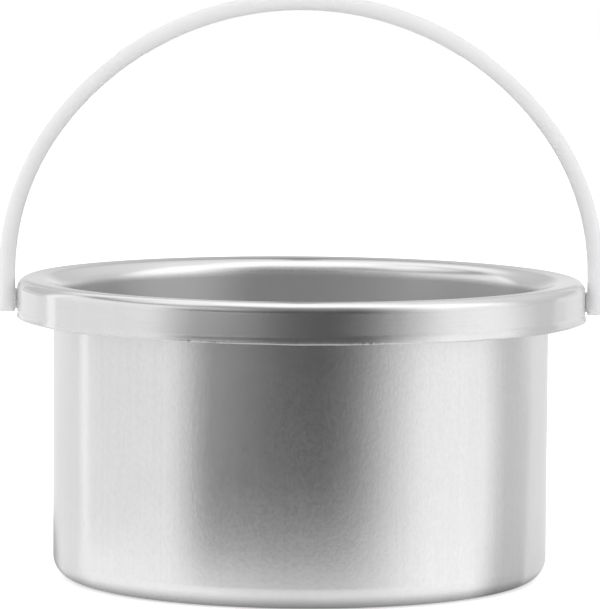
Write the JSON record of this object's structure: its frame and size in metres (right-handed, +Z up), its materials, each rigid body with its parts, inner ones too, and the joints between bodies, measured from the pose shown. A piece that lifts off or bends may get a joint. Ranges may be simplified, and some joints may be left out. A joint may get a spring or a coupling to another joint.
{
  "type": "wax pot",
  "caption": "Round satin aluminium pot for melting wax, with a rolled rim that ends in a skirt, and a white plastic bail that swings on pegs in the skirt.",
  "frame": {"origin": "centre of the flat underside of the base", "axes": "+Z up along the pot's axis and out of its mouth, +X along the bail's pivot axis, -Y towards the viewer of the picture"},
  "size_m": [0.1308, 0.1232, 0.1261],
  "materials": {
    "satin_aluminium": "spun, satin",
    "white_plastic": "moulded, semi-gloss"
  },
  "bodies": {
    "pot": {"pot": "satin_aluminium"},
    "bail": {"bail_handle": "white_plastic"}
  },
  "joints": [
    {"name": "bail_swing", "type": "hinge", "parent": "pot", "child": "bail", "pos_m": [0, 0, 0.05985], "axis": [1, 0, 0], "range_deg": [-118, 118]}
  ]
}
